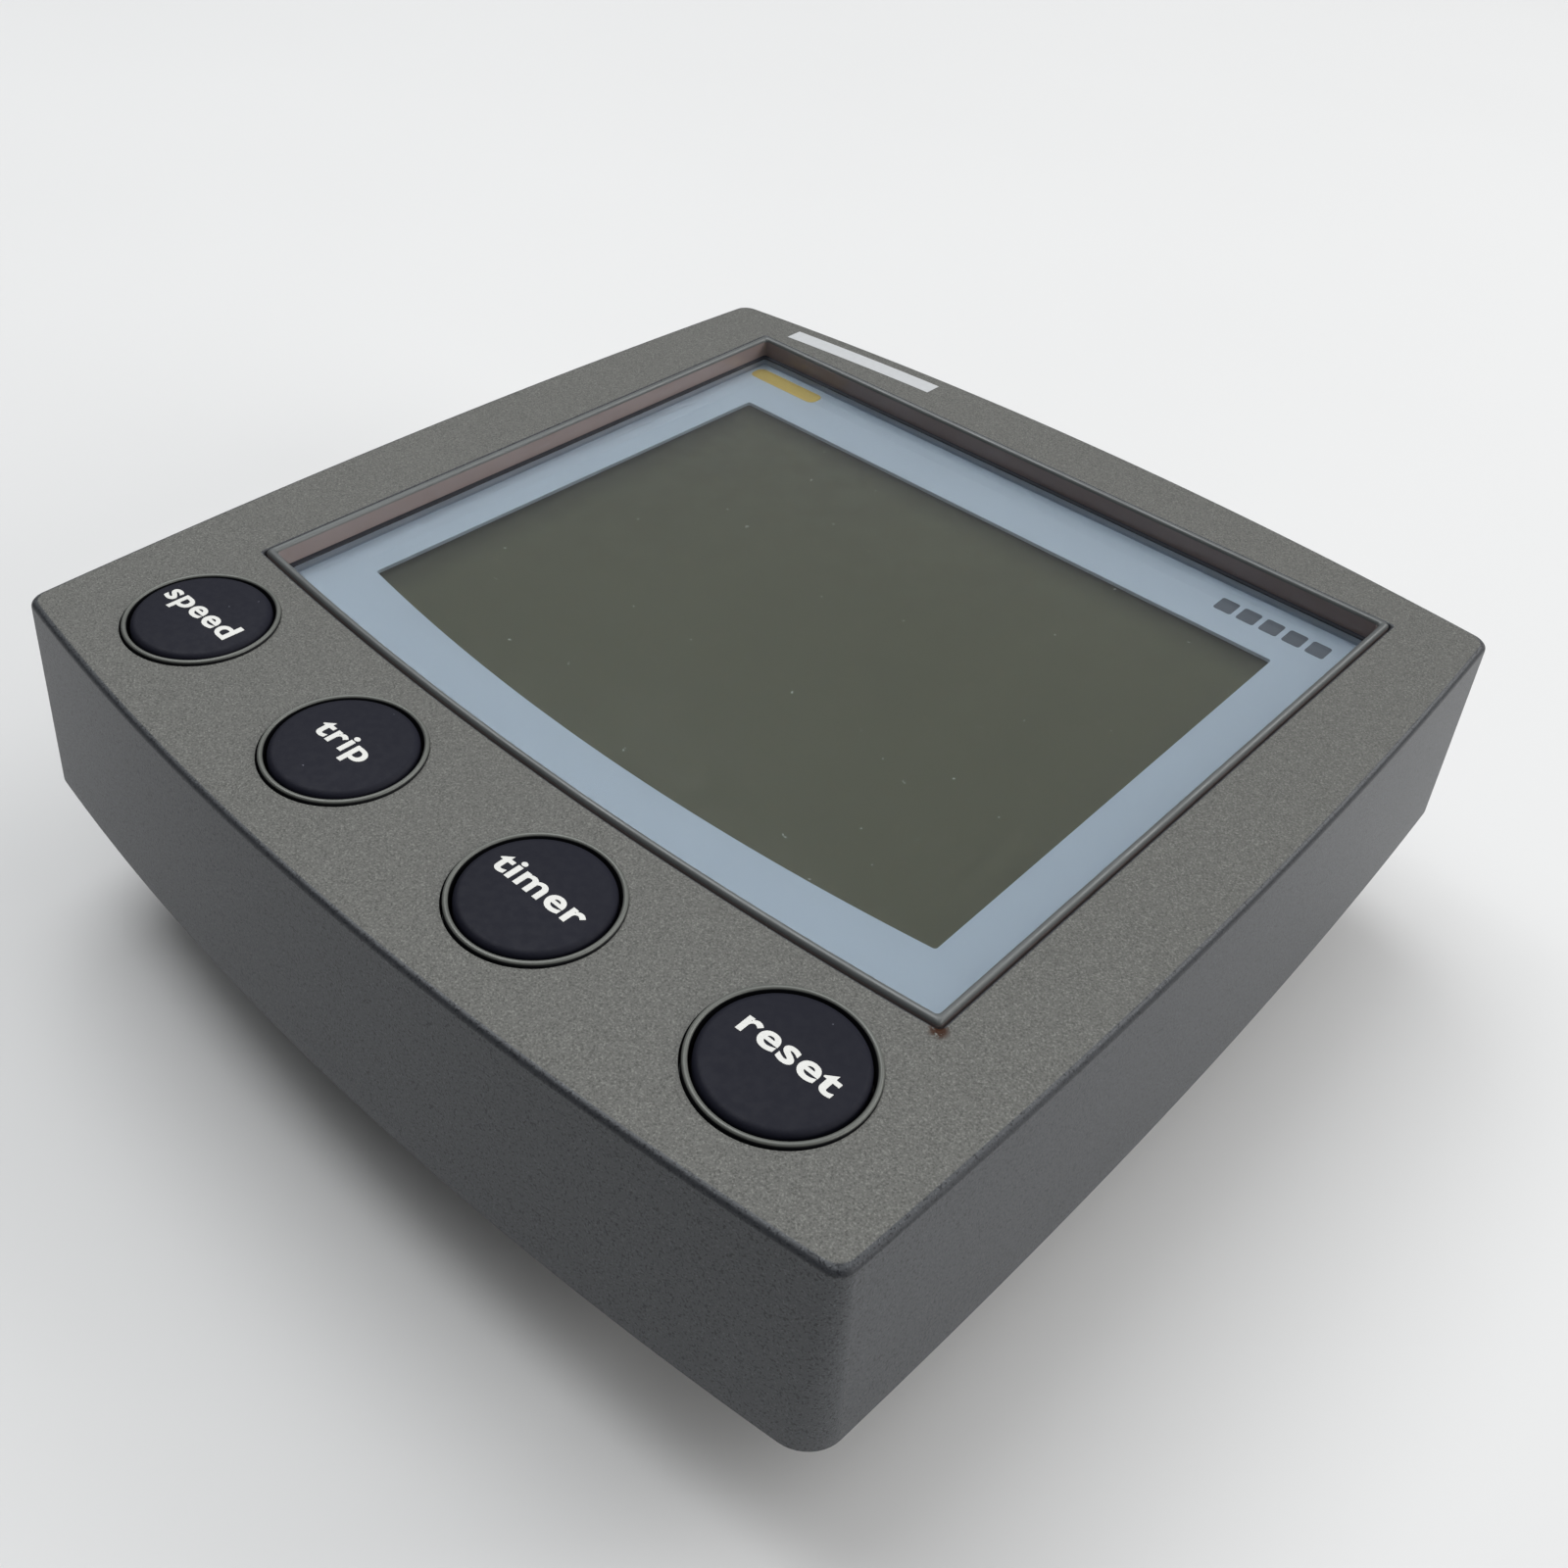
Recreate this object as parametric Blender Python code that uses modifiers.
"""Panel instrument display head with a liquid crystal window and four rubber keys.

The head lies on its back: +Z is the reading direction of the display, +X runs to the right
of the display and +Y to its top. The origin is under the middle of the rear boss, on the
plane that the boss rim stands on. All lengths are in metres.
"""
import math

import bmesh
import bpy
from mathutils import Vector

# Driving dimensions of the bezel.
RIM_WIDTH = 0.111            # across the rear rim, at the middle of the sides
RIM_HEIGHT = 0.115           # bottom to top of the rear rim, at the middle of the sides
BEZEL_DEPTH = 0.0222         # rear rim to front face
FLARE = 0.0016               # how far the walls lean out from front face to rear rim
SIDE_BOW = 0.0016            # outward bow of the left and right walls
TOP_BOW = 0.0036
BOTTOM_BOW = 0.0040
FRONT_CORNER = 0.0014        # corner radius of the front face, in plan
RIM_CORNER = 0.0030          # corner radius of the rear rim, in plan
EDGE_RADIUS = 0.0007         # rounding between front face and walls
BEZEL_WALL = 0.0022

# Driving dimensions of the rear boss and the joints between the pieces.
BOSS_RADIUS = 0.045
BOSS_DEPTH = 0.017           # boss rim to the bezel's rear rim
BOSS_WALL = 0.0022
BOSS_RECESS = 0.008          # boss rim to the face that carries the sockets
GAP = 0.0003                 # clearance between pieces that touch
CASE_WALL = 0.0014
CASE_INSET = 0.0026          # inner case inside the bezel's front outline

# Window, display and mask outlines. A bow is the rise of the curved lower edge.
WINDOW_HALF = 0.0429
WINDOW_TOP = 0.0461
WINDOW_BOTTOM = -0.0294      # at the corners
WINDOW_BOW = 0.0025
WINDOW_CORNER = 0.0004
LIP_WIDTH = 0.0010
LIP_GAP = 0.00035
LIP_RISE = 0.0003            # lip top above the front face
LENS_DEPTH = 0.0024          # lens face below the lip top
LENS_THICKNESS = 0.0015
MASK_THICKNESS = 0.0004
DISPLAY_HALF_TOP = 0.0367
DISPLAY_HALF_BOTTOM = 0.0372
DISPLAY_TOP = 0.0364
DISPLAY_BOTTOM = -0.0214     # at the corners
DISPLAY_BOW = 0.0030
DISPLAY_CORNER = 0.0003

# Keys.
KEY_NAMES = ("speed", "trip", "timer", "reset")
OUTER_KEY = (0.0378, -0.04145)
INNER_KEY = (0.0127, -0.0432)
KEY_RADIUS = 0.0067
KEY_HOLE = 0.0070
RING_RADIUS = 0.0075
RING_RISE = 0.0004
KEY_RISE = 0.0008            # crown of a key above the front face
KEY_TRAVEL = 0.0012
COLLAR_RADIUS = 0.0055
RETAINER_RADIUS = 0.0063
STEM_RADIUS = 0.0022
PILL_RADIUS = 0.0018
PILL_THICKNESS = 0.0005

# Outline resolution.
SIDE_STEPS = 8
CORNER_STEPS = 4
ROUND_STEPS = 48
SMALL_ROUND_STEPS = 20

# Heights above the boss rim that the drawing above fixes.
RIM_Z = BOSS_DEPTH
FACE_Z = RIM_Z + BEZEL_DEPTH
LIP_Z = FACE_Z + LIP_RISE
BEZEL_UNDERSIDE = FACE_Z - BEZEL_WALL
LENS_Z = LIP_Z - LENS_DEPTH
LENS_BACK = LENS_Z - LENS_THICKNESS
MASK_Z = LENS_BACK - GAP
MASK_BACK = MASK_Z - MASK_THICKNESS
LEDGE_Z = MASK_BACK - GAP

# Inner front case.
CASE_FACE = BEZEL_UNDERSIDE - 0.0004
CASE_UNDERSIDE = CASE_FACE - 0.0016
LEDGE_WIDTH = 0.0014
LEDGE_BACK = LEDGE_Z - 0.0012
RIB_WIDTH = 0.0016

# Rear case, seals and gasket, stacked from the boss side.
GASKET_PROUD = 0.0004        # foam standing out of the bezel's rear rim
GASKET_THICKNESS = 0.0016
GASKET_INSET = 0.0034
PLATE_Z = RIM_Z - GASKET_PROUD + GASKET_THICKNESS + GAP
PLATE_THICKNESS = 0.0023
PLATE_TOP = PLATE_Z + PLATE_THICKNESS
SEAL_THICKNESS = 0.0005
SEAL_Z = PLATE_TOP + GAP
CASE_REAR = SEAL_Z + SEAL_THICKNESS + GAP
SOCKET_FLOOR_THICKNESS = 0.0020
RECESS_FACE = BOSS_RECESS
RECESS_BACK = BOSS_RECESS + SOCKET_FLOOR_THICKNESS

# Display stack under the ledge, down to the main board.
GLASS_THICKNESS = 0.0010
GLASS_HALF = 0.0405
GLASS_TOP = 0.0400
GLASS_BOTTOM = -0.0280
FRONT_GLASS_MARGIN = 0.0020  # front glass shorter than the rear one, baring the contacts
FRONT_GLASS_Z = LEDGE_Z - GLASS_THICKNESS
REAR_GLASS_Z = FRONT_GLASS_Z - GAP - GLASS_THICKNESS
SHEET_THICKNESS = 0.0004
DIFFUSER_Z = REAR_GLASS_Z - GAP - SHEET_THICKNESS
GUIDE_THICKNESS = 0.0014
GUIDE_Z = DIFFUSER_Z - GAP - GUIDE_THICKNESS
REFLECTOR_Z = GUIDE_Z - GAP - SHEET_THICKNESS
GUIDE_HALF = 0.0360
GUIDE_TOP = 0.0360
GUIDE_BOTTOM = -0.0235
BOARD_THICKNESS = 0.0016
BOARD_TOP = REFLECTOR_Z - GAP
BOARD_Z = BOARD_TOP - BOARD_THICKNESS
BOARD_HALF = 0.0415
BOARD_Y = (-0.0468, 0.0440)
ZEBRA_HALF = 0.0300
ZEBRA_WIDTH = 0.0022
LED_SIZE = (0.0016, 0.0035, 0.0014)

# Key stack, worked down from the crown.
KEY_CROWN = FACE_Z + KEY_RISE
CAP_BACK = CASE_UNDERSIDE + KEY_TRAVEL
WEB_TOP = CASE_UNDERSIDE - GAP
WEB_THICKNESS = 0.0008
WEB_BACK = WEB_TOP - WEB_THICKNESS
WEB_EDGE = -0.0350
RETAINER_TOP = WEB_BACK - GAP
RETAINER_BACK = RETAINER_TOP - 0.0007
STEM_END = RETAINER_BACK - 0.0008
PILL_TOP = STEM_END - GAP
DOME_RADIUS = 0.0030
DOME_HEIGHT = PILL_TOP - PILL_THICKNESS - KEY_TRAVEL - 0.0002 - BOARD_TOP - GAP

# Fixings. Each is a place in plan.
SCREW_PLACES = {
    "upper_left": (-0.0448, 0.030), "upper_right": (0.0448, 0.030),
    "lower_left": (-0.0448, -0.024), "lower_right": (0.0448, -0.024),
}
PILLAR_RADIUS = 0.0029
SHANK_RADIUS = 0.0012
SHANK_HOLE = 0.0015
SHANK_TIP = 0.0300
HEAD_RADIUS = 0.0024
HEAD_THICKNESS = 0.0012
HEAD_HOLE = 0.0027
INSERT_PLACES = {"upper_left": (-0.030, 0.0435), "lower_right": (0.030, -0.0435)}
INSERT_RADIUS = 0.0030
INSERT_BORE = 0.0019
INSERT_LENGTH = 0.0055
INSERT_POST = 0.0044
STANDOFF_PLACES = ((-0.037, 0.036), (0.037, 0.036), (-0.037, -0.036), (0.037, -0.036))
STANDOFF_RADIUS = 0.0018

# Connections in the boss recess.
SOCKET_PLACES = {"left": (-0.015, 0.010), "right": (0.015, 0.010)}
SOCKET_SIZE = (0.0134, 0.0114)
SOCKET_WALL = 0.0012
SOCKET_MOUTH = 0.0010
SOCKET_FLOOR = 0.0070
PIN_RADIUS = 0.0006
PIN_PITCH = 0.0032
PIN_ROW = 0.0028             # pins stand towards one long side of the socket
PIN_TIP = 0.0022
BLADE_SIZE = (0.0063, 0.0008)
BLADE_PITCH = 0.0105
BLADE_ROW = -0.012
BLADE_TIP = 0.0012
TERMINAL_BOARD_Z = RECESS_BACK + 0.0012


def srgb(red, green, blue):
    """Linear colour from 8-bit display values."""
    return tuple((channel / 255) ** 2.2 for channel in (red, green, blue)) + (1.0,)


# Material name: colour, roughness, metallic.
FINISHES = {
    "bezel_plastic": (srgb(108, 112, 105), 0.55, 0.25),
    "frame_plastic": (srgb(84, 88, 88), 0.40, 0.15),
    "window_acrylic": (srgb(225, 232, 235), 0.05, 0.0),
    "mask_print": (srgb(151, 165, 177), 0.45, 0.0),
    "display_glass": (srgb(94, 97, 84), 0.12, 0.0),
    "sheet_white": (srgb(228, 228, 222), 0.50, 0.0),
    "key_rubber": (srgb(33, 34, 44), 0.70, 0.0),
    "contact_carbon": (srgb(22, 22, 24), 0.85, 0.0),
    "seal_rubber": (srgb(24, 24, 24), 0.80, 0.0),
    "case_plastic": (srgb(38, 40, 42), 0.55, 0.0),
    "board_green": (srgb(28, 84, 52), 0.45, 0.0),
    "component_black": (srgb(26, 26, 28), 0.50, 0.0),
    "plated_metal": (srgb(196, 198, 200), 0.28, 1.0),
    "brass": (srgb(190, 156, 88), 0.32, 1.0),
}


def make_material(name):
    """Principled material with the finish of that name."""
    color, roughness, metallic = FINISHES[name]
    made = bpy.data.materials.new(name)
    made.use_nodes = True
    shader = made.node_tree.nodes["Principled BSDF"]
    shader.inputs["Base Color"].default_value = color
    shader.inputs["Roughness"].default_value = roughness
    shader.inputs["Metallic"].default_value = metallic
    made.diffuse_color = color
    return made


def adopt(obj, finish):
    """Put a finished part in the model's collection, under the root empty."""
    for holder in list(obj.users_collection):
        holder.objects.unlink(obj)
    PARTS.objects.link(obj)
    obj.parent = ROOT
    obj.data.materials.clear()
    obj.data.materials.append(MATERIALS[finish])
    return obj


def as_tool(obj):
    """Keep a shape as a boolean operand only."""
    for holder in list(obj.users_collection):
        holder.objects.unlink(obj)
    TOOLS.objects.link(obj)
    obj.hide_render = True
    obj.display_type = "WIRE"
    return obj


def combine(obj, tool, operation):
    """Cut a tool shape from a part, or join it on."""
    step = obj.modifiers.new(operation.lower() + "_" + tool.name, "BOOLEAN")
    step.operation = operation
    step.object = as_tool(tool)
    step.solver = "EXACT"


def cut(obj, tool):
    combine(obj, tool, "DIFFERENCE")


def join(obj, tool):
    combine(obj, tool, "UNION")


def smooth_round(obj, angle=math.radians(35)):
    obj.data.shade_smooth()
    obj.data.set_sharp_from_angle(angle=angle)


def object_from(name, mesh):
    obj = bpy.data.objects.new(name, mesh)
    bpy.context.scene.collection.objects.link(obj)
    return obj


def outline(halves, top, bottom, bows, radius, offset=0.0):
    """Counter-clockwise outline of a four-sided plate with bowed sides and round corners.

    halves holds the half width at the bottom and at the top, bows the outward bow of the
    bottom, right, top and left side. offset moves every side outward.
    """
    half_bottom, half_top = halves
    corners = [
        Vector((-half_bottom - offset, bottom - offset)),
        Vector((half_bottom + offset, bottom - offset)),
        Vector((half_top + offset, top + offset)),
        Vector((-half_top - offset, top + offset)),
    ]

    def on_side(side, part):
        start, end = corners[side], corners[(side + 1) % 4]
        chord = end - start
        outward = Vector((chord.y, -chord.x)).normalized()
        return start.lerp(end, part) + outward * (4 * bows[side] * part * (1 - part))

    points = []
    for side in range(4):
        chord = (corners[(side + 1) % 4] - corners[side]).length
        trim = radius / chord
        for step in range(SIDE_STEPS + 1):
            points.append(on_side(side, trim + (1 - 2 * trim) * step / SIDE_STEPS))
        following = (side + 1) % 4
        next_chord = (corners[(following + 1) % 4] - corners[following]).length
        arc_start = points[-1]
        arc_end = on_side(following, radius / next_chord)
        knee = corners[following]
        weight = math.sqrt(0.5)
        for step in range(1, CORNER_STEPS):
            part = step / CORNER_STEPS
            first = (1 - part) ** 2
            middle = 2 * weight * part * (1 - part)
            last = part ** 2
            total = first + middle + last
            points.append((arc_start * first + knee * middle + arc_end * last) / total)
    return points


def face_outline(offset=0.0, radius=FRONT_CORNER):
    """Outline of the bezel's front face, moved outward by offset."""
    half = RIM_WIDTH / 2 - FLARE - SIDE_BOW
    top = RIM_HEIGHT / 2 - FLARE - TOP_BOW
    bottom = -(RIM_HEIGHT / 2 - FLARE - BOTTOM_BOW)
    bows = (BOTTOM_BOW, SIDE_BOW, TOP_BOW, SIDE_BOW)
    return outline((half, half), top, bottom, bows, radius, offset)


def window_outline(offset=0.0):
    """Outline of the window inside the raised lip, moved outward by offset."""
    radius = WINDOW_CORNER
    bows = (WINDOW_BOW, 0, 0, 0)
    return outline((WINDOW_HALF, WINDOW_HALF), WINDOW_TOP, WINDOW_BOTTOM, bows, radius, offset)


def display_outline():
    """Outline of the opening in the mask."""
    halves = (DISPLAY_HALF_BOTTOM, DISPLAY_HALF_TOP)
    bows = (DISPLAY_BOW, 0, 0, 0)
    return outline(halves, DISPLAY_TOP, DISPLAY_BOTTOM, bows, DISPLAY_CORNER)


def plate(name, points, low, high):
    """Flat plate of an outline, between two heights."""
    mesh = bpy.data.meshes.new(name)
    shape = bmesh.new()
    flat = shape.faces.new([shape.verts.new((p[0], p[1], low)) for p in points])
    raised = bmesh.ops.extrude_face_region(shape, geom=[flat])["geom"]
    moved = [item for item in raised if isinstance(item, bmesh.types.BMVert)]
    bmesh.ops.translate(shape, verts=moved, vec=(0, 0, high - low))
    bmesh.ops.recalc_face_normals(shape, faces=shape.faces)
    shape.to_mesh(mesh)
    shape.free()
    return object_from(name, mesh)


def loft_ring(name, sections):
    """Closed ring through unlike sections, each an outline and its height."""
    mesh = bpy.data.meshes.new(name)
    shape = bmesh.new()
    loops = [[shape.verts.new((p[0], p[1], height)) for p in points] for points, height in sections]
    count = len(loops[0])
    for index, loop in enumerate(loops):
        following = loops[(index + 1) % len(loops)]
        for spot in range(count):
            ahead = (spot + 1) % count
            shape.faces.new((loop[spot], loop[ahead], following[ahead], following[spot]))
    bmesh.ops.recalc_face_normals(shape, faces=shape.faces)
    shape.to_mesh(mesh)
    shape.free()
    return object_from(name, mesh)


def block(name, center, size):
    """Rectangular block with its scale applied."""
    bpy.ops.mesh.primitive_cube_add(size=1, location=center)
    obj = bpy.context.object
    obj.name = name
    obj.scale = size
    bpy.ops.object.transform_apply(location=False, rotation=False, scale=True)
    return obj


def slab(name, x_range, y_range, z_range):
    """Rectangular block from its limits."""
    center = [(low + high) / 2 for low, high in (x_range, y_range, z_range)]
    size = [high - low for low, high in (x_range, y_range, z_range)]
    return block(name, center, size)


def rod(name, radius, place, low, high, steps=SMALL_ROUND_STEPS):
    """Upright cylinder between two heights."""
    bpy.ops.mesh.primitive_cylinder_add(
        vertices=steps, radius=radius, depth=high - low,
        location=(place[0], place[1], (low + high) / 2))
    obj = bpy.context.object
    obj.name = name
    smooth_round(obj)
    return obj


def turned(name, profile, place, steps):
    """Turned piece: a profile of radius and height, swept round the upright axis."""
    mesh = bpy.data.meshes.new(name)
    points = [(radius, 0, height) for radius, height in profile]
    edges = [(index, index + 1) for index in range(len(points) - 1)]
    if profile[0][0] > 0:
        edges.append((len(points) - 1, 0))
    mesh.from_pydata(points, edges, [])
    obj = object_from(name, mesh)
    obj.location = (place[0], place[1], 0)
    sweep = obj.modifiers.new("sweep", "SCREW")
    sweep.steps = steps
    sweep.render_steps = steps
    sweep.use_merge_vertices = True
    sweep.merge_threshold = 0.00001
    sweep.use_smooth_shade = True
    return obj


def key_place(name):
    """Plan position of a key: the keys follow the bow of the lower edge."""
    index = KEY_NAMES.index(name)
    side = -1 if index < 2 else 1
    x, y = OUTER_KEY if index in (0, 3) else INNER_KEY
    return (side * x, y)


def make_bezel():
    """Flared front moulding with the window opening, four key holes and their rings."""
    window_edge = LIP_WIDTH + LIP_GAP
    break_edge = 0.0002
    fillet = EDGE_RADIUS * (1 - math.sqrt(0.5))
    bezel = loft_ring("bezel", [
        (window_outline(window_edge), BEZEL_UNDERSIDE),
        (window_outline(window_edge), FACE_Z - break_edge),
        (window_outline(window_edge + break_edge), FACE_Z),
        (face_outline(-EDGE_RADIUS), FACE_Z),
        (face_outline(-fillet), FACE_Z - fillet),
        (face_outline(), FACE_Z - EDGE_RADIUS),
        (face_outline(FLARE, RIM_CORNER), RIM_Z),
        (face_outline(FLARE - BEZEL_WALL, RIM_CORNER - BEZEL_WALL), RIM_Z),
        (face_outline(-BEZEL_WALL, FRONT_CORNER / 2), BEZEL_UNDERSIDE),
    ])
    for key in KEY_NAMES:
        place = key_place(key)
        ring = rod("ring_" + key, RING_RADIUS, place, FACE_Z - 0.001, FACE_Z + RING_RISE, 40)
        join(bezel, ring)
    for key in KEY_NAMES:
        hole = rod("hole_" + key, KEY_HOLE, key_place(key), RIM_Z + 0.010, FACE_Z + 0.002, 40)
        cut(bezel, hole)
    for side, name in ((-1, "left"), (1, "right")):
        wall = side * (RIM_WIDTH / 2 - FLARE)
        reach = (wall - side * 0.0030, wall + side * 0.0012)
        snap = slab("snap_" + name, sorted(reach), (-0.007, 0.007), (RIM_Z + GAP, PLATE_Z - GAP))
        join(bezel, snap)
    return adopt(bezel, "bezel_plastic")


def make_front_case():
    """Inner case: window lip, lens ledge, face plate, side wall and screw pillars."""
    case_corner = FRONT_CORNER
    outer = face_outline(-CASE_INSET, case_corner)
    inner = face_outline(-CASE_INSET - CASE_WALL, case_corner / 2)
    lip_break = LIP_WIDTH * 0.3
    case = loft_ring("front_case", [
        (window_outline(), LIP_Z - lip_break),
        (window_outline(lip_break), LIP_Z),
        (window_outline(LIP_WIDTH - lip_break), LIP_Z),
        (window_outline(LIP_WIDTH), LIP_Z - lip_break),
        (window_outline(LIP_WIDTH), CASE_FACE),
        (outer, CASE_FACE),
        (outer, CASE_REAR),
        (inner, CASE_REAR),
        (inner, CASE_UNDERSIDE),
        (window_outline(RIB_WIDTH), CASE_UNDERSIDE),
        (window_outline(RIB_WIDTH), LEDGE_BACK),
        (window_outline(-LEDGE_WIDTH), LEDGE_BACK),
        (window_outline(-LEDGE_WIDTH), LEDGE_Z),
        (window_outline(), LEDGE_Z),
    ])
    for name, place in SCREW_PLACES.items():
        join(case, rod("pillar_" + name, PILLAR_RADIUS, place, CASE_REAR, LEDGE_BACK + 0.0005))
    for name, place in SCREW_PLACES.items():
        cut(case, rod("pilot_" + name, SHANK_HOLE, place, CASE_REAR - 0.001, SHANK_TIP + GAP))
    for key in KEY_NAMES:
        cut(case, rod("case_hole_" + key, KEY_HOLE, key_place(key), CASE_UNDERSIDE - 0.001,
                      CASE_FACE + 0.001, 40))
    return adopt(case, "frame_plastic")


def make_window():
    """Clear lens and the printed mask behind it."""
    lens = plate("window_lens", window_outline(-GAP), LENS_BACK, LENS_Z)
    adopt(lens, "window_acrylic")
    mask = loft_ring("display_mask", [
        (window_outline(-GAP), MASK_BACK),
        (window_outline(-GAP), MASK_Z),
        (display_outline(), MASK_Z),
        (display_outline(), MASK_BACK),
    ])
    adopt(mask, "mask_print")


def make_display():
    """Liquid crystal cell, its strips of contact rubber and the backlight under it."""
    half = (-GLASS_HALF, GLASS_HALF)
    front_y = (GLASS_BOTTOM + FRONT_GLASS_MARGIN, GLASS_TOP - FRONT_GLASS_MARGIN)
    front_z = (FRONT_GLASS_Z, FRONT_GLASS_Z + GLASS_THICKNESS)
    rear_z = (REAR_GLASS_Z, REAR_GLASS_Z + GLASS_THICKNESS)
    adopt(slab("lcd_front_glass", half, front_y, front_z), "display_glass")
    adopt(slab("lcd_rear_glass", half, (GLASS_BOTTOM, GLASS_TOP), rear_z), "display_glass")
    guide_x = (-GUIDE_HALF, GUIDE_HALF)
    guide_y = (GUIDE_BOTTOM, GUIDE_TOP)
    layers = (("diffuser_sheet", DIFFUSER_Z, SHEET_THICKNESS, "sheet_white"),
              ("light_guide", GUIDE_Z, GUIDE_THICKNESS, "window_acrylic"),
              ("reflector_sheet", REFLECTOR_Z, SHEET_THICKNESS, "sheet_white"))
    for name, low, thickness, finish in layers:
        adopt(slab(name, guide_x, guide_y, (low, low + thickness)), finish)
    strip_z = (BOARD_TOP + GAP, REAR_GLASS_Z - GAP)
    strip_x = (-ZEBRA_HALF, ZEBRA_HALF)
    upper_y = (GUIDE_TOP + 0.001, GUIDE_TOP + 0.001 + ZEBRA_WIDTH)
    lower_y = (GUIDE_BOTTOM - 0.001 - ZEBRA_WIDTH, GUIDE_BOTTOM - 0.001)
    adopt(slab("contact_strip_upper", strip_x, upper_y, strip_z), "seal_rubber")
    adopt(slab("contact_strip_lower", strip_x, lower_y, strip_z), "seal_rubber")
    for side, name in ((-1, "left"), (1, "right")):
        x = side * (GUIDE_HALF + GAP + LED_SIZE[0] / 2)
        z = BOARD_TOP + GAP + LED_SIZE[2] / 2
        adopt(block("backlight_led_" + name, (x, 0, z), LED_SIZE), "sheet_white")


def make_key(name):
    """Rubber key with a crowned cap, a collar in the web, a retaining bead and its contact."""
    place = key_place(name)
    edge = 0.0008
    profile = [
        (0, KEY_CROWN),
        (KEY_RADIUS * 0.55, KEY_CROWN - 0.00008),
        (KEY_RADIUS - edge, KEY_CROWN - 0.00022),
        (KEY_RADIUS - edge * 0.3, KEY_CROWN - 0.00022 - edge * 0.3),
        (KEY_RADIUS, KEY_CROWN - 0.00022 - edge),
        (KEY_RADIUS, CAP_BACK),
        (COLLAR_RADIUS, CAP_BACK),
        (COLLAR_RADIUS, RETAINER_TOP),
        (RETAINER_RADIUS, RETAINER_TOP),
        (RETAINER_RADIUS, RETAINER_BACK),
        (STEM_RADIUS, RETAINER_BACK),
        (STEM_RADIUS, STEM_END),
        (0, STEM_END),
    ]
    adopt(turned("key_" + name, profile, place, 36), "key_rubber")
    pill = rod("contact_pill_" + name, PILL_RADIUS, place, PILL_TOP - PILL_THICKNESS, PILL_TOP)
    adopt(pill, "contact_carbon")


def make_key_switch(name):
    """Snap dome on the main board, under a key."""
    base = BOARD_TOP + GAP
    profile = [
        (0, base + DOME_HEIGHT),
        (DOME_RADIUS * 0.6, base + DOME_HEIGHT * 0.75),
        (DOME_RADIUS, base + DOME_HEIGHT * 0.2),
        (DOME_RADIUS, base),
        (0, base),
    ]
    adopt(turned("switch_dome_" + name, profile, key_place(name), SMALL_ROUND_STEPS), "plated_metal")


def make_keypad_web():
    """Rubber sheet that joins and seals the four keys."""
    inside = face_outline(-CASE_INSET - CASE_WALL - 0.0004, FRONT_CORNER / 2)
    web = plate("keypad_web", inside, WEB_BACK, WEB_TOP)
    upper_part = slab("web_trim", (-0.06, 0.06), (WEB_EDGE, 0.07), (WEB_BACK - 0.001, WEB_TOP + 0.001))
    cut(web, upper_part)
    for key in KEY_NAMES:
        hole = rod("web_hole_" + key, COLLAR_RADIUS + GAP, key_place(key),
                   WEB_BACK - 0.001, WEB_TOP + 0.001, 28)
        cut(web, hole)
    adopt(web, "key_rubber")


def make_electronics():
    """Main board, its components on the rear side, and the board behind the sockets."""
    board = slab("main_board", (-BOARD_HALF, BOARD_HALF), BOARD_Y, (BOARD_Z, BOARD_TOP))
    adopt(board, "board_green")
    under = BOARD_Z - GAP
    chips = (("processor_chip", (-0.006, 0.010), (0.014, 0.014, 0.0018)),
             ("driver_chip", (0.016, 0.012), (0.010, 0.010, 0.0018)),
             ("crystal", (-0.022, 0.008), (0.0110, 0.0046, 0.0036)))
    for name, (x, y), size in chips:
        finish = "plated_metal" if name == "crystal" else "component_black"
        adopt(block(name, (x, y, under - size[2] / 2), size), finish)
    adopt(rod("buzzer", 0.0060, (0.020, -0.012), under - 0.0045, under, 28), "component_black")
    for name, x in (("capacitor_left", -0.022), ("capacitor_right", -0.013)):
        adopt(rod(name, 0.0031, (x, -0.014), under - 0.0070, under), "plated_metal")
    board_z = (TERMINAL_BOARD_Z, TERMINAL_BOARD_Z + BOARD_THICKNESS)
    rear_board = slab("terminal_board", (-0.0275, 0.0275), (-0.017, 0.018), board_z)
    adopt(rear_board, "board_green")
    link = slab("board_link", (-0.004, 0.004), (-0.0035, -0.001), (board_z[1] + GAP, under))
    adopt(link, "component_black")


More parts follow.
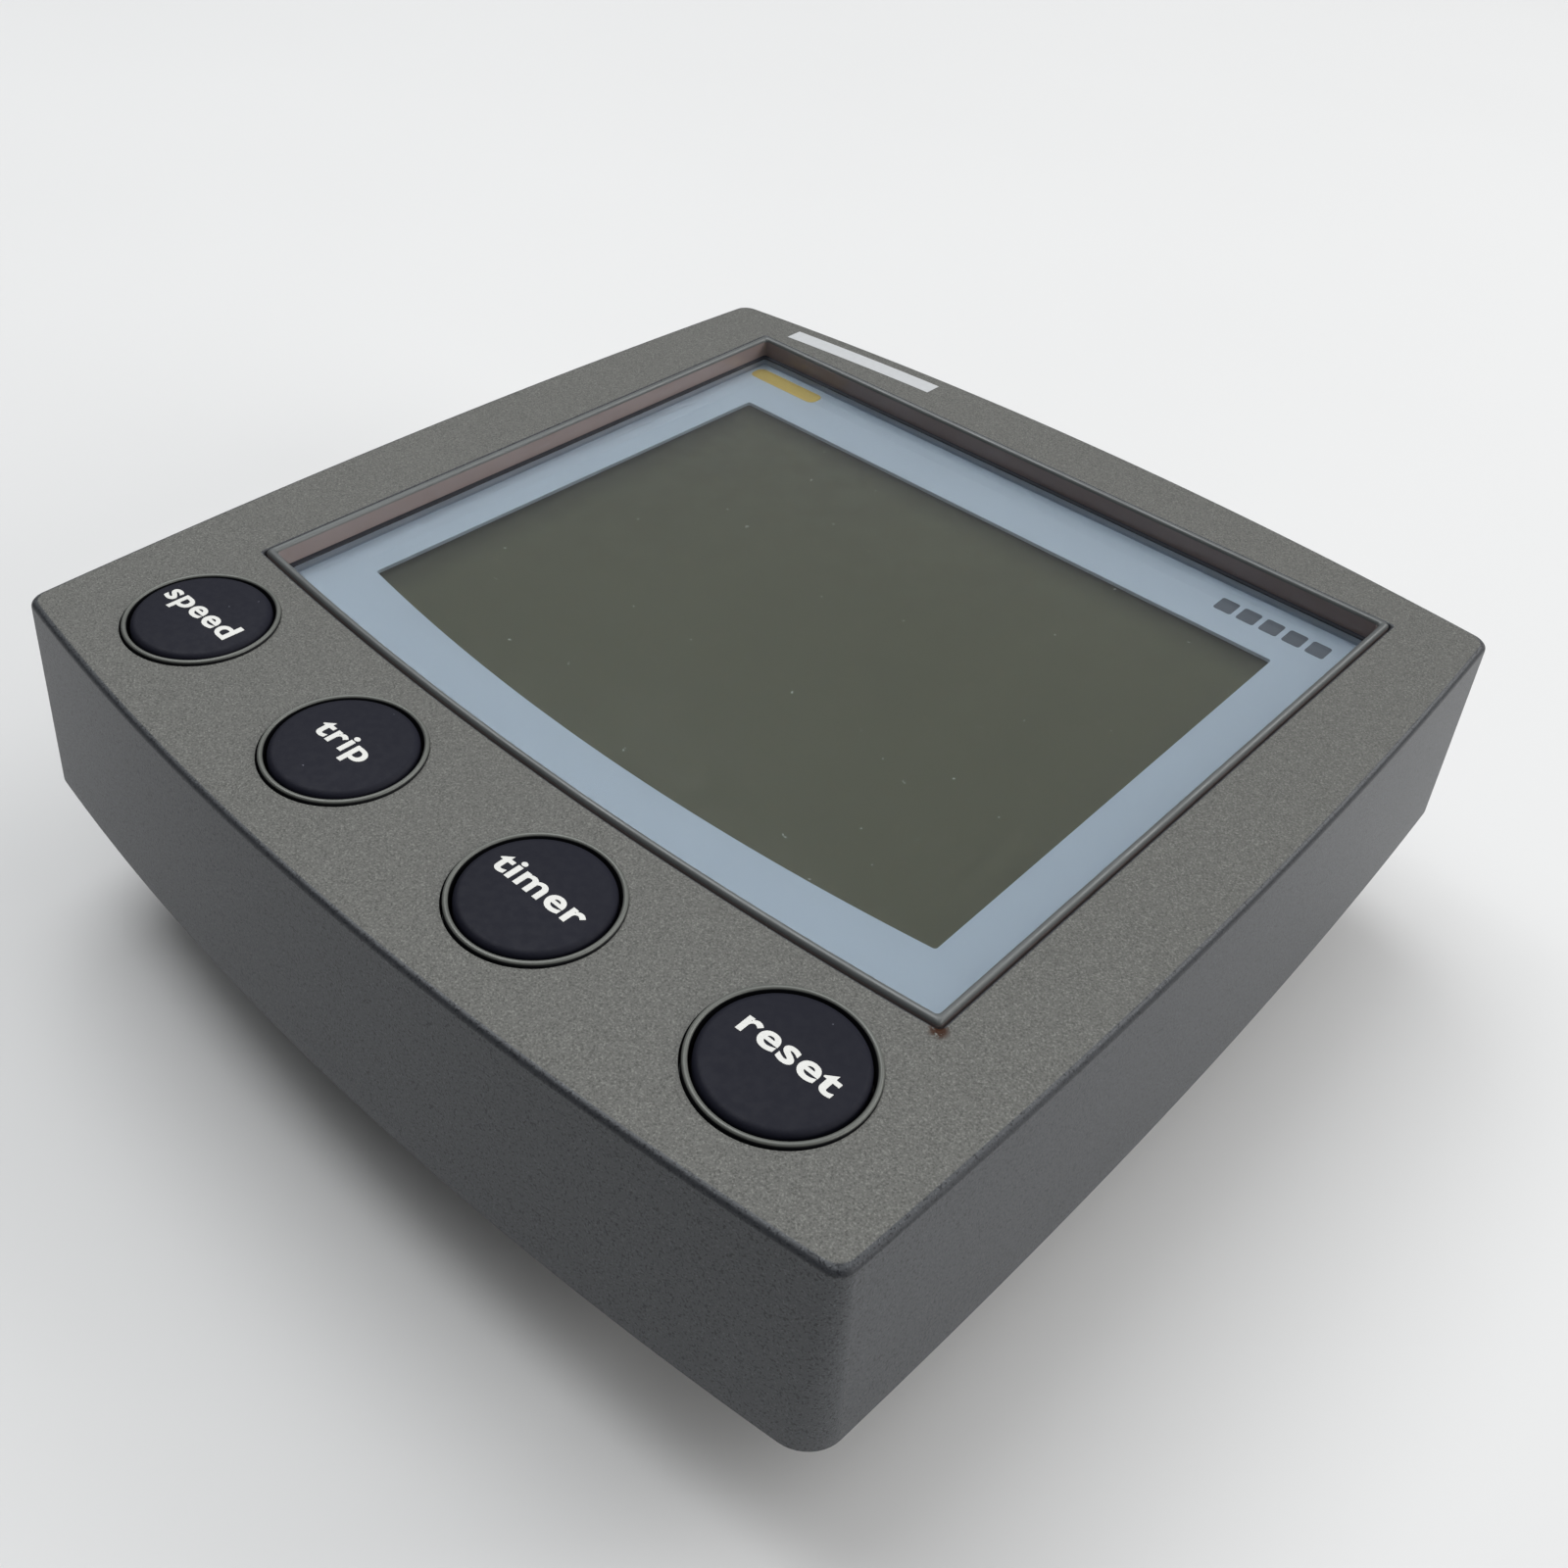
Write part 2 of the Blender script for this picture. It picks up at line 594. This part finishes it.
def make_rear_case():
    """Rear cover: flange plate, round boss with a recessed end, posts and openings."""
    case = plate("rear_case", face_outline(-CASE_INSET), PLATE_Z, PLATE_TOP)
    join(case, rod("boss", BOSS_RADIUS, (0, 0), 0, PLATE_TOP - 0.0005, ROUND_STEPS))
    for index, place in enumerate(STANDOFF_PLACES):
        post = rod("standoff_%d" % index, STANDOFF_RADIUS, place, PLATE_TOP - 0.0005, BOARD_Z - GAP, 12)
        join(case, post)
    insert_end = PLATE_Z + INSERT_LENGTH
    for name, place in INSERT_PLACES.items():
        join(case, rod("insert_post_" + name, INSERT_POST, place, PLATE_TOP - 0.0005, insert_end + 0.0018))
    inside = BOSS_RADIUS - BOSS_WALL
    cut(case, rod("boss_inside", inside, (0, 0), RECESS_BACK, PLATE_TOP + 0.001, ROUND_STEPS))
    cut(case, rod("boss_recess", inside, (0, 0), -0.001, RECESS_FACE, ROUND_STEPS))
    for name, place in INSERT_PLACES.items():
        cut(case, rod("insert_pocket_" + name, INSERT_RADIUS + GAP, place, PLATE_Z - 0.001, insert_end + GAP))
    for name, place in SCREW_PLACES.items():
        head_room = HEAD_THICKNESS + 2 * GAP
        cut(case, rod("head_hole_" + name, HEAD_HOLE, place, PLATE_Z - 0.001, PLATE_Z + head_room))
        cut(case, rod("shank_hole_" + name, SHANK_HOLE, place, PLATE_Z, PLATE_TOP + 0.001))
    through = (RECESS_FACE - 0.001, RECESS_BACK + 0.001)
    for name, (x, y) in SOCKET_PLACES.items():
        size = [extent / 2 + GAP for extent in SOCKET_SIZE]
        cut(case, slab("socket_cut_" + name, (x - size[0], x + size[0]), (y - size[1], y + size[1]), through))
    for index in range(5):
        x = (index - 2) * BLADE_PITCH
        size = [extent / 2 + GAP for extent in BLADE_SIZE]
        cut(case, slab("blade_cut_%d" % (index + 1), (x - size[0], x + size[0]),
                       (BLADE_ROW - size[1], BLADE_ROW + size[1]), through))
    adopt(case, "case_plastic")


def make_seals():
    """Rubber ring between the two case halves and the foam gasket on the flange."""
    seal_outer = face_outline(-CASE_INSET - 0.0002)
    seal_inner = face_outline(-CASE_INSET - CASE_WALL, FRONT_CORNER / 2)
    seal_top = SEAL_Z + SEAL_THICKNESS
    seal = loft_ring("case_seal", [
        (seal_outer, SEAL_Z), (seal_outer, seal_top), (seal_inner, seal_top), (seal_inner, SEAL_Z)])
    adopt(seal, "seal_rubber")
    low = RIM_Z - GASKET_PROUD
    high = low + GASKET_THICKNESS
    gasket = plate("panel_gasket", face_outline(-GASKET_INSET), low, high)
    cut(gasket, rod("gasket_bore", BOSS_RADIUS + 0.0005, (0, 0), low - 0.001, high + 0.001, ROUND_STEPS))
    for name, place in SCREW_PLACES.items():
        cut(gasket, rod("gasket_screw_" + name, HEAD_HOLE, place, low - 0.001, high + 0.001))
    for name, place in INSERT_PLACES.items():
        cut(gasket, rod("gasket_stud_" + name, INSERT_RADIUS, place, low - 0.001, high + 0.001))
    adopt(gasket, "seal_rubber")


def make_fixings():
    """Self-tapping case screws and the threaded brass inserts for the panel studs."""
    for name, place in SCREW_PLACES.items():
        head = PLATE_Z + GAP
        shoulder = head + HEAD_THICKNESS
        profile = [
            (0, SHANK_TIP), (SHANK_RADIUS * 0.4, SHANK_TIP), (SHANK_RADIUS, SHANK_TIP - 0.0015),
            (SHANK_RADIUS, shoulder), (HEAD_RADIUS, shoulder), (HEAD_RADIUS, head + 0.0004),
            (HEAD_RADIUS - 0.0006, head), (0, head),
        ]
        screw = turned("case_screw_" + name, profile, place, SMALL_ROUND_STEPS)
        for turn in (0, 1):
            arms = (0.0030, 0.0006) if turn == 0 else (0.0006, 0.0030)
            slot = block("cross_%d_%s" % (turn, name), (place[0], place[1], head), (*arms, 0.0012))
            cut(screw, slot)
        adopt(screw, "plated_metal")
    for name, place in INSERT_PLACES.items():
        top = PLATE_Z + INSERT_LENGTH
        profile = [(INSERT_RADIUS, top), (INSERT_RADIUS, PLATE_Z), (INSERT_BORE, PLATE_Z),
                   (INSERT_BORE, top)]
        adopt(turned("stud_insert_" + name, profile, place, 24), "brass")


def make_connections():
    """Two three-pin network sockets and five blade terminals in the boss recess."""
    for name, (x, y) in SOCKET_PLACES.items():
        half_x, half_y = SOCKET_SIZE[0] / 2, SOCKET_SIZE[1] / 2
        socket = slab("network_socket_" + name, (x - half_x, x + half_x), (y - half_y, y + half_y),
                      (SOCKET_MOUTH, RECESS_BACK + GAP))
        pocket = slab("socket_pocket_" + name, (x - half_x + SOCKET_WALL, x + half_x - SOCKET_WALL),
                      (y - half_y + SOCKET_WALL, y + half_y - SOCKET_WALL), (0, SOCKET_FLOOR))
        cut(socket, pocket)
        for index in range(3):
            spot = (x + (index - 1) * PIN_PITCH, y + PIN_ROW)
            label = "%s_%d" % (name, index + 1)
            cut(socket, rod("pin_hole_" + label, PIN_RADIUS + GAP, spot, SOCKET_FLOOR - 0.001,
                            RECESS_BACK + 0.001, 10))
            pin = rod("socket_pin_" + label, PIN_RADIUS, spot, PIN_TIP, TERMINAL_BOARD_Z - GAP, 10)
            adopt(pin, "plated_metal")
        adopt(socket, "case_plastic")
    for index in range(5):
        x = (index - 2) * BLADE_PITCH
        size = (*BLADE_SIZE, TERMINAL_BOARD_Z - GAP - BLADE_TIP)
        center = (x, BLADE_ROW, BLADE_TIP + size[2] / 2)
        adopt(block("blade_terminal_%d" % (index + 1), center, size), "plated_metal")


for old in list(bpy.data.objects):
    bpy.data.objects.remove(old, do_unlink=True)

PARTS = bpy.data.collections.new("display_head")
TOOLS = bpy.data.collections.new("boolean_tools")
bpy.context.scene.collection.children.link(PARTS)
bpy.context.scene.collection.children.link(TOOLS)
ROOT = bpy.data.objects.new("display_head_root", None)
PARTS.objects.link(ROOT)
MATERIALS = {name: make_material(name) for name in FINISHES}

make_bezel()
make_front_case()
make_window()
make_display()
make_keypad_web()
for key_name in KEY_NAMES:
    make_key(key_name)
    make_key_switch(key_name)
make_electronics()
make_seals()
make_rear_case()
make_connections()
make_fixings()
